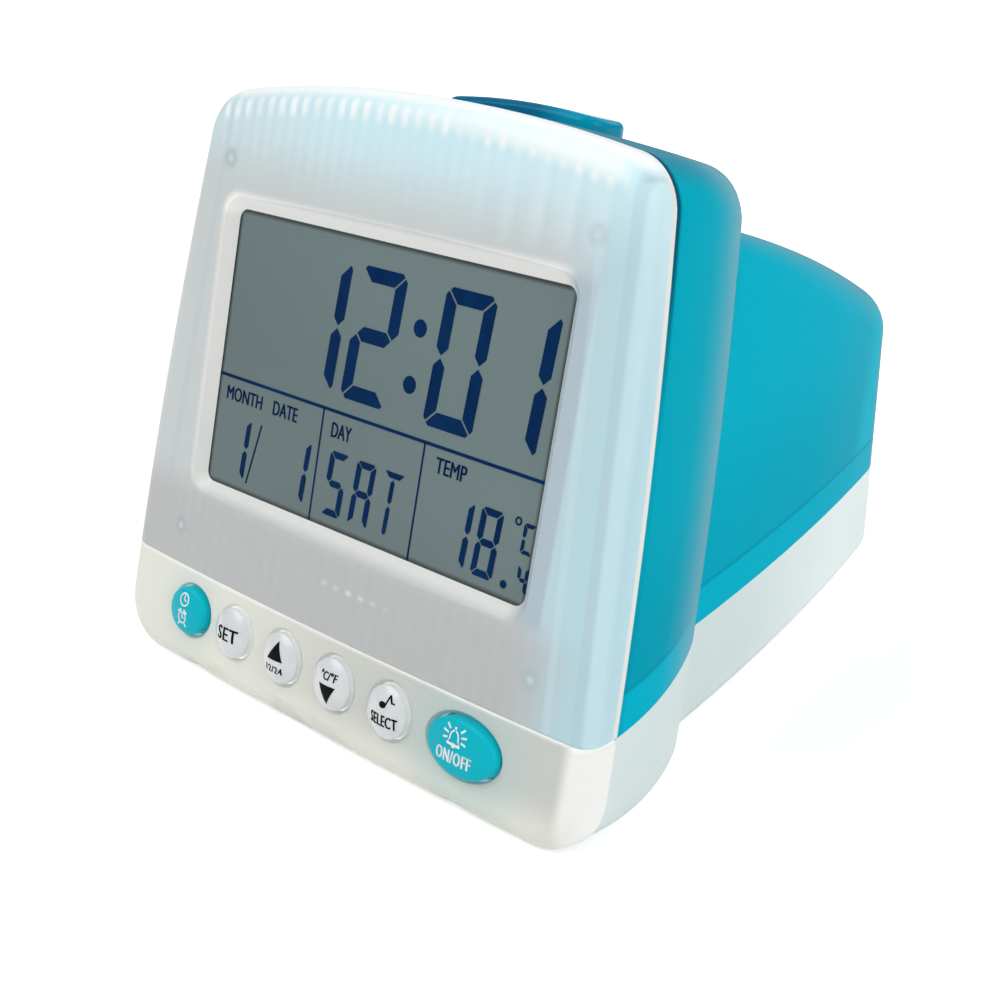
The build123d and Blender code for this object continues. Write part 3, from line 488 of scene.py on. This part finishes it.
glare = times(tree, band(tree, below_top, 0.0014, 0.0030, 0.0018), ramp(tree, across, -0.020, 0.026),
              within, 0.7)
crest_highlight = ramp(tree, below_top, 0.0022, 0.0004)
painted_highlights = most(tree, dashes, dots, glare, crest_highlight)

# The upright bands at the sides, the bosses, the rim and the back edge. The rim is paler, partly its own
# cream tone and partly painted light, a little dimmer towards the bottom, with a painted glow along its top.
# The right slope of the rim gets painted shade.
blue_bands = most(tree, times(tree, right_hand, band(tree, spread, 0.0420, 0.0428, 0.0007)),
                  times(tree, left_hand, band(tree, spread, 0.0379, 0.0386, 0.0007), 0.6))
light_bands = times(tree, right_hand, most(tree, band(tree, spread, 0.0436, 0.0445, 0.0007),
                                           times(tree, band(tree, spread, 0.0374, 0.0380, 0.0006), 0.6)))
right_slope_shade = times(tree, band(tree, across, 0.0328, 0.0362, 0.0008), ramp(tree, climb, 0.0235, 0.0205))
bosses = most(tree, *(spot(tree, face, *place, 0.0009, 0.0012) for place in boss_places))
boss_strength = number(tree, "SUBTRACT", 0.45, times(tree, ramp(tree, across, -0.030, 0.030), 0.2))
boss_tips = most(tree, *(spot(tree, face, *place, 0.0001, 0.0007) for place in boss_places))
corner_mark = spot(tree, face, 0.0400, 0.0344, 0.0001, 0.0007)
past_side = number(tree, "MAXIMUM", number(tree, "SUBTRACT", reach, rim_side), 0.0)
past_top = number(tree, "SUBTRACT", number(tree, "ADD", climb, times(tree, low_half, rim_foot_drop)), rim_top)
past_rim = distance(tree, past_side, number(tree, "MAXIMUM", past_top, 0.0))
rim = times(tree, ramp(tree, past_rim, 0.0039, 0.0022), ramp(tree, across, 0.0335, 0.0300),
            number(tree, "SUBTRACT", 1.0, times(tree, low_half, 0.2)))
rim_painted_glow = times(tree, rim, ramp(tree, rise, 0.0185, 0.0205))
back_edge = ramp(tree, face["Depth"], -0.0030, -0.0036)

# The case shines through most at the right and at the top.
side_tint = ramp(tree, number(tree, "SUBTRACT", across, times(tree, lower, 0.004)), 0.028, 0.042)
top_tint = times(tree, upper, number(tree, "ADD", times(tree, ramp(tree, across, -0.036, -0.005), 0.35), 0.6))
base = layered(tree, tree.nodes["skin"].outputs["Color"], (
    # Painted shade on the part below the display.
    (lower, 1.0, (0.525, 0.540, 0.535)),
    (side_tint, 0.9, (0.505, 0.750, 0.830)),
    (top_tint, 1.0, (0.645, 0.895, 0.965)),
    (rib_tint, 1.0, (0.82, 0.94, 0.97)),
    (streaks, 0.28, (0.82, 0.95, 0.99)),
    # Painted shade on the right slope of the rim.
    (right_slope_shade, 0.8, (0.44, 0.54, 0.60)),
    (blue_bands, 0.32, (0.46, 0.56, 0.64)),
    (light_bands, 0.45, (0.68, 0.86, 0.91)),
    (bosses, boss_strength, (0.36, 0.45, 0.48)),
    (boss_tips, 0.6, (0.74, 0.80, 0.82)),
    (corner_mark, 0.5, (0.42, 0.60, 0.66)),
    # Painted highlights.
    (painted_highlights, 0.85, (0.97, 1.0, 1.0)),
    (most(tree, rim, back_edge), 1.0, (0.81, 0.815, 0.79))))
tree.links.new(base, shader.inputs["Base Color"])
# A painted glow on the top of the rim and on the painted highlights.
painted_glow_amount = number(tree, "ADD", times(tree, rim_painted_glow, 0.14), times(tree, painted_highlights, 0.07))
glow(tree, shader, painted_glow_amount, (1.0, 0.99, 0.96))
dress(frosted_front, "front_bezel")

# Button panel: the same frosted moulding as the bezel, in a slightly warmer white, snapped under it.
# A painted highlight lies along its upper edge as one bright line, painted shade darkens its right and
# upper part, its right corner is paler, the teal keys colour the plastic round them, and a painted glow
# lights the walls of the key holes.
key_row = -0.0406
hole_radius = {"mode_button": 0.0044, "set_button": 0.0042, "up_button": 0.0042, "down_button": 0.0042,
               "select_button": 0.0042, "alarm_button": 0.0063}


def key_side(key):
    """Middle of a key across the face, from its own mesh."""
    sides = [corner.co.x for corner in nodes[key].data.vertices]
    return (min(sides) + max(sides)) / 2


frosted_panel = plastic("frosted_panel", (0.885, 0.885, 0.80), (0.81, 0.82, 0.745), 0.36, 0.5, 0.14)
tree = frosted_panel.node_tree
shader = shader_of(frosted_panel)
set_up(shader, {"Subsurface Weight": 0.25, "Subsurface Radius": frosted_radius, "Specular IOR Level": 0.3})
face = on_face(tree)
across, height = face["Across"], face["Height"]
# Painted shade over the right and upper part of the panel.
shaded = times(tree, ramp(tree, across, -0.030, 0.020), ramp(tree, height, 0.0020, 0.0085))
by_alarm = spot(tree, face, key_side("alarm_button"), key_row, 0.0065, 0.0075)
by_mode = spot(tree, face, key_side("mode_button"), key_row, 0.0045, 0.0045)
# Painted highlight along the upper edge.
seam_highlight = ramp(tree, height, 0.01512, 0.01526)
right_corner = ramp(tree, across, 0.0430, 0.0452)
base = layered(tree, tree.nodes["skin"].outputs["Color"], (
    (shaded, 0.8, (0.58, 0.60, 0.57)),
    (by_alarm, 0.45, (0.50, 0.66, 0.64)),
    (by_mode, 0.25, (0.55, 0.70, 0.68)),
    (most(tree, right_corner, times(tree, seam_highlight, 0.7)), 1.0, (0.95, 0.95, 0.91))))
tree.links.new(base, shader.inputs["Base Color"])
near_keys = most(tree, *(spot(tree, face, key_side(key), key_row, size, 0.0002)
                         for key, size in hole_radius.items()))
# Painted glow on the walls of the key holes.
hole_wall_glow = times(tree, ramp(tree, face["Depth"], 0.0010, 0.0006), near_keys)
painted_glow_amount = most(tree, times(tree, hole_wall_glow, 0.35), times(tree, seam_highlight, 0.10))
glow(tree, shader, painted_glow_amount, (0.92, 0.97, 0.94))
dress(frosted_panel, "button_panel")

# Buttons: four round keys in cloudy white and two ovals in teal, all moulded in see-through plastic.
# They stand in their holes on a flange and are pressed back by the rubber domes behind.
# A painted glow brightens the white keys towards their feet.
key_white = plastic("key_white", (0.80, 0.81, 0.81), (0.66, 0.69, 0.72), 0.18, 0.28, 0.04, cloud_scale=420.0)
tree = key_white.node_tree
shader = shader_of(key_white)
set_up(shader, {"Subsurface Weight": 0.3, "Subsurface Radius": (0.0015, 0.0015, 0.0015),
                "Coat Weight": 0.4, "Coat Roughness": 0.12})
key_foot = ramp(tree, on_face(tree)["Depth"], 0.0024, 0.0010)
glow(tree, shader, times(tree, key_foot, 0.22), (0.94, 0.97, 0.96))
dress(key_white, "set_button", "up_button", "down_button", "select_button")
key_teal = plastic("key_teal", (0.0, 0.51, 0.62), (0.0, 0.47, 0.58), 0.3, 0.42, 0.06)
set_up(shader_of(key_teal), {"Specular IOR Level": 0.12})
dress(key_teal, "mode_button", "alarm_button")

# Button prints: the signs are pad-printed on the keys, black on white and white on teal.
# Each is a thin film of ink that follows the dome of its own key and moves with it.
# Places and sizes are in millimetres, across and up from the middle of the key.
ink_lift = 0.00006
ink_thickness = 0.00004
above_keys = 0.008
print_black = plastic("print_black", (0.009, 0.009, 0.010), (0.005, 0.005, 0.006), 0.35, 0.5, 0.05)
set_up(shader_of(print_black), {"Specular IOR Level": 0.04})
print_white = plastic("print_white", (0.92, 0.94, 0.94), (0.86, 0.89, 0.89), 0.35, 0.5, 0.05)


def stroke(from_side, from_up, to_side, to_up, width):
    """A straight line of ink between two places."""
    along = Vector((to_side - from_side, to_up - from_up)).normalized() * width / 2
    return film([(from_side - along.y, from_up + along.x), (from_side + along.y, from_up - along.x),
                 (to_side + along.y, to_up - along.x), (to_side - along.y, to_up + along.x)])


def pad_print(name, key, parts, ink):
    """Joins the films of one key, wraps them on its dome and lets them ride with it."""
    sign = joined(parts, name)
    sign.data.transform(Matrix.Translation((key_side(key), key_row, above_keys)))
    bpy.ops.object.mode_set(mode="EDIT")
    bpy.ops.mesh.select_all(action="SELECT")
    bpy.ops.mesh.quads_convert_to_tris()
    bpy.ops.mesh.subdivide(number_cuts=6)
    bpy.ops.object.mode_set(mode="OBJECT")
    sign.matrix_world = face_matrix
    wrap = sign.modifiers.new("wrap", "SHRINKWRAP")
    wrap.target = nodes[key]
    wrap.wrap_method = "PROJECT"
    wrap.use_project_z = True
    wrap.use_negative_direction = True
    wrap.use_positive_direction = False
    wrap.offset = ink_lift
    bpy.ops.object.modifier_apply(modifier="wrap")
    bpy.ops.object.transform_apply(location=True, rotation=True, scale=True)
    thicken(sign, ink_thickness)
    sign.data.materials.append(ink)
    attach(sign, key)


pad_print("set_print", "set_button", lettering("SET", -2.0, -1.1, 4.3, 2.1, 0.14, 1.1),
          print_black)
pad_print("up_print", "up_button",
          [film([(0.24, 2.72), (-1.41, -0.13), (1.74, -0.13)]),
           *lettering("12/24", -1.6, -2.08, 3.4, 1.05, 0.06, 1.15)],
          print_black)
pad_print("down_print", "down_button",
          [film([(0.31, -2.73), (1.86, 0.07), (-1.24, 0.07)]),
           *lettering("\u00b0C/\u00b0F", -1.2, 0.8, 3.1, 1.25, 0.1, 1.1)],
          print_black)
head_side, head_up, head_width, head_height = 0.05, 1.25, 0.62, 0.45
note_head = [(head_side + head_width * x, head_up + head_height * y) for x, y in ring(0, 0, 1)]
pad_print("select_print", "select_button",
          [*lettering("SELECT", -2.0, -1.78, 4.8, 1.65, 0.11, 1.15), film(note_head),
           stroke(0.56, 1.30, 0.96, 2.80, 0.24), stroke(0.92, 2.82, 1.52, 1.80, 0.26),
           stroke(1.40, 1.85, 1.95, 1.85, 0.2)],
          print_black)

# The mode key has a clock over an alarm clock with two bells and two feet.
clock_side, clock_up = -0.28, 1.75
alarm_side, alarm_up = -0.33, -1.1
hand_width, bell_width, foot_width = 0.2, 0.3, 0.24
clock = [outline(ring(clock_side, clock_up, 1.08), 0.80),
         stroke(clock_side, clock_up, clock_side, clock_up + 0.7, hand_width),
         stroke(clock_side, clock_up, clock_side + 0.5, clock_up - 0.2, hand_width)]
alarm = [outline(ring(alarm_side, alarm_up, 0.95), 0.78),
         stroke(alarm_side, alarm_up, alarm_side, alarm_up + 0.6, hand_width),
         stroke(alarm_side, alarm_up, alarm_side + 0.45, alarm_up, hand_width)]
bell_and_foot = ((1.0, 0.75, 0.3, 1.25, bell_width), (0.6, -0.8, 0.95, -1.3, foot_width))
for way in (-1, 1):
    for near, low, far, high, width in bell_and_foot:
        alarm.append(stroke(alarm_side + way * near, alarm_up + low,
                            alarm_side + way * far, alarm_up + high, width))
pad_print("mode_print", "mode_button", clock + alarm, print_white)

# The alarm key has a ringing bell: its outline, its clapper and three rays on each side.
bell_side, bell_up = -0.63, 1.35
ray_width = 0.26
left_half = [(-1.2, -1.1), (-1.2, -0.8), (-0.9, -0.5), (-0.85, 0.15), (-0.7, 0.65), (-0.4, 0.95),
             (-0.16, 1.05), (-0.16, 1.5)]
bell = left_half + [(-x, y) for x, y in left_half[::-1]]
rays = [stroke(bell_side + way * near, bell_up + low, bell_side + way * far, bell_up + high, ray_width)
        for way in (-1, 1)
        for near, low, far, high in ((1.25, -0.25, 2.05, -0.45), (1.2, 0.4, 2.1, 0.6), (0.95, 1.0, 1.6, 1.6))]
pad_print("alarm_print", "alarm_button",
          [outline([(bell_side + x, bell_up + y) for x, y in bell], 0.74),
           film(ring(bell_side, bell_up - 1.05, 0.34)),
           *lettering("ON/OFF", -3.6, -2.2, 6.3, 1.75, 0.13, 1.15), *rays],
          print_white)

# Case: the upper half is frosted teal and the lower half and its door pale greenish white, all a little
# see-through. The halves are moulded hollow and screwed together from below, and the lower half's lip
# stands inside the teal wall and shows as a lighter band above the seam.
lip_top = 0.02115
frosted_teal = plastic("frosted_teal", (0.0, 0.418, 0.560), (0.0, 0.380, 0.508), 0.45, 0.6, 0.16)
tree = frosted_teal.node_tree
shader = shader_of(frosted_teal)
set_up(shader, {"Specular IOR Level": 0.01})
face = on_face(tree)
rise, depth, height = face["Rise"], face["Depth"], face["Height"]
lip_band = ramp(tree, height, lip_top, lip_top - 0.0002)
lip_line = band(tree, height, lip_top - 0.00025, lip_top, 0.0004)
# Painted shade in the joint behind the bezel, strongest at the top.
joint_shade_strength = number(tree, "ADD", times(tree, ramp(tree, rise, 0.0, 0.030), 0.75), 0.12)
joint_shade = times(tree, ramp(tree, depth, -0.0062, -0.0052), joint_shade_strength)
rear_body = ramp(tree, depth, -0.029, -0.034)
collar = ramp(tree, depth, -0.034, -0.029)
rear_end = ramp(tree, depth, -0.090, -0.097)
# Painted shade on the top of the collar, and towards the bottom of the collar and of the body.
collar_top_shade = times(tree, ramp(tree, rise, 0.0335, 0.0375), ramp(tree, depth, -0.026, -0.010))
collar_foot = times(tree, ramp(tree, height, 0.045, 0.024), collar)
body_foot = times(tree, ramp(tree, height, 0.050, 0.024), rear_body)
# A painted sheen at a glancing angle, paler on the collar, and painted shade at the outline.
graze = tree.nodes.new("ShaderNodeLayerWeight")
graze.inputs["Blend"].default_value = 0.35
sheen = ramp(tree, graze.outputs["Facing"], 0.54, 0.85)
sheen_colour = mixed(tree, rear_body, (0.23, 0.46, 0.54), (0.14, 0.41, 0.51))
grazing_shade = ramp(tree, graze.outputs["Facing"], 0.75, 1.0)
base = layered(tree, tree.nodes["skin"].outputs["Color"], (
    (rear_body, 0.8, (0.0, 0.470, 0.640)),
    (collar_foot, 0.7, (0.0, 0.330, 0.450)),
    (body_foot, 0.7, (0.0, 0.390, 0.530)),
    (rear_end, 0.7, (0.0, 0.580, 0.750)),
    (lip_band, 0.7, (0.0, 0.500, 0.680)),
    (lip_line, 0.6, (0.0, 0.270, 0.390)),
    (sheen, 0.8, sheen_colour),
    (collar_top_shade, 0.7, (0.02, 0.24, 0.36)),
    (grazing_shade, 0.6, (0.06, 0.20, 0.28)),
    (joint_shade, 1.0, (0.0, 0.050, 0.10))))
tree.links.new(base, shader.inputs["Base Color"])
dress(frosted_teal, "upper_housing")
pale_white = plastic("pale_white", (0.74, 0.82, 0.81), (0.66, 0.76, 0.76), 0.40, 0.55, 0.16)
tree = pale_white.node_tree
shader = shader_of(pale_white)
set_up(shader, {"Subsurface Weight": 0.2, "Subsurface Radius": frosted_radius})
towards_rear = ramp(tree, on_face(tree)["Depth"], -0.040, -0.095)
base = layered(tree, tree.nodes["skin"].outputs["Color"], ((towards_rear, 0.9, (0.90, 0.99, 0.98)),))
tree.links.new(base, shader.inputs["Base Color"])
dress(pale_white, "lower_housing", "battery_door")

# Snooze bar: a polished cap moulded in clear teal plastic, dark teal, with a painted glint that makes
# it lighter towards its right end. It stands in a guide in the collar's top and presses on a switch below.
snooze_teal = plastic("snooze_teal", (0.0, 0.165, 0.300), (0.0, 0.130, 0.245), 0.10, 0.18, 0.02)
tree = snooze_teal.node_tree
shader = shader_of(snooze_teal)
set_up(shader, {"Coat Weight": 0.06, "Coat Roughness": 0.06, "Specular IOR Level": 0.06})
glint_end = ramp(tree, on_face(tree)["Across"], 0.0030, 0.0110)
base = layered(tree, tree.nodes["skin"].outputs["Color"], ((glint_end, 0.6, (0.0, 0.40, 0.58)),))
tree.links.new(base, shader.inputs["Base Color"])
dress(snooze_teal, "snooze_button")

# Table: a plain white sheet of matt card under the clock.
# It glows a little for the eye alone, more so far away, so that it runs into the white room and
# keeps the soft shadow of the clock.
table_size, table_drop = 6.0, 0.00002
near_glow, glow_gain = 0.42, 0.6
bpy.ops.object.select_all(action="DESELECT")
bpy.ops.mesh.primitive_plane_add(size=table_size, location=(0, 0, -table_drop))
table = bpy.context.object
table.name = "table"
bpy.ops.object.transform_apply(location=True)
table_white = blank("table_white")
tree = table_white.node_tree
shader = shader_of(table_white)
set_up(shader, {"Base Color": (0.86, 0.86, 0.86, 1.0), "Roughness": 0.8, "Specular IOR Level": 0.1})
path = tree.nodes.new("ShaderNodeLightPath")
seen = most(tree, path.outputs["Is Camera Ray"], path.outputs["Is Glossy Ray"],
            path.outputs["Is Transmission Ray"])
coordinates = tree.nodes.new("ShaderNodeTexCoord")
away = tree.nodes.new("ShaderNodeVectorMath")
away.operation = "LENGTH"
tree.links.new(coordinates.outputs["Object"], away.inputs[0])
far = number(tree, "ADD", times(tree, ramp(tree, away.outputs["Value"], 0.22, 0.75), glow_gain), near_glow)
white_glow = tree.nodes.new("ShaderNodeEmission")
white_glow.inputs["Color"].default_value = (1.0, 1.0, 1.0, 1.0)
tree.links.new(times(tree, seen, far), white_glow.inputs["Strength"])
both = tree.nodes.new("ShaderNodeAddShader")
tree.links.new(shader.outputs["BSDF"], both.inputs[0])
tree.links.new(white_glow.outputs["Emission"], both.inputs[1])
tree.links.new(both.outputs["Shader"], tree.nodes["Material Output"].inputs["Surface"])
table.data.materials.append(table_white)
table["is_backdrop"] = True

# Light: a big soft window above and to the left, a weak fill from the right and another from behind.
# All three are square panels that face the clock, in a white room that shows as plain white.
room_light = 0.36
for name, stand, aim, size, power in (("window", (-0.35, -0.45, 0.75), (0, 0.02, 0.04), 0.7, 4.4),
                                      ("fill", (0.75, -0.10, 0.45), (0, 0.04, 0.04), 0.6, 3.0),
                                      ("back", (0.1, 0.8, 0.7), (0, 0.05, 0.04), 0.6, 2.2)):
    bpy.ops.object.light_add(type="AREA", location=stand)
    lamp = bpy.context.object
    lamp.name = name
    lamp.data.size = size
    lamp.data.energy = power
    lamp.rotation_euler = (Vector(aim) - Vector(stand)).to_track_quat("-Z", "Y").to_euler()
room = bpy.data.worlds.new("white_room")
bpy.context.scene.world = room
room.use_nodes = True
tree = room.node_tree
sky = tree.nodes["Background"]
sky.inputs["Color"].default_value = (1.0, 1.0, 1.0, 1.0)
path = tree.nodes.new("ShaderNodeLightPath")
seen = most(tree, path.outputs["Is Camera Ray"], path.outputs["Is Transmission Ray"])
tree.links.new(number(tree, "ADD", times(tree, seen, 1.0 - room_light), room_light), sky.inputs["Strength"])

# Camera: the photograph was taken from above the right front corner, close to the clock.
# Its place and its turn were worked out from the display's rectangle and the clock's outline.
camera_place = (0.15561, -0.13959, 0.11896)
forward = Vector((-0.6351, 0.6743, -0.3768)).normalized()
right = Vector((0.7275, 0.6861, 0.0017)).normalized()
upward = right.cross(forward).normalized()
bpy.ops.object.camera_add(location=camera_place)
camera = bpy.context.object
camera.rotation_euler = Matrix((right, upward, -forward)).transposed().to_euler()
camera.data.lens = 58.09
camera.data.sensor_width = 36.0
camera.data.shift_y = -0.0076
camera.data.clip_start = 0.01
bpy.context.scene.camera = camera

low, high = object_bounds()
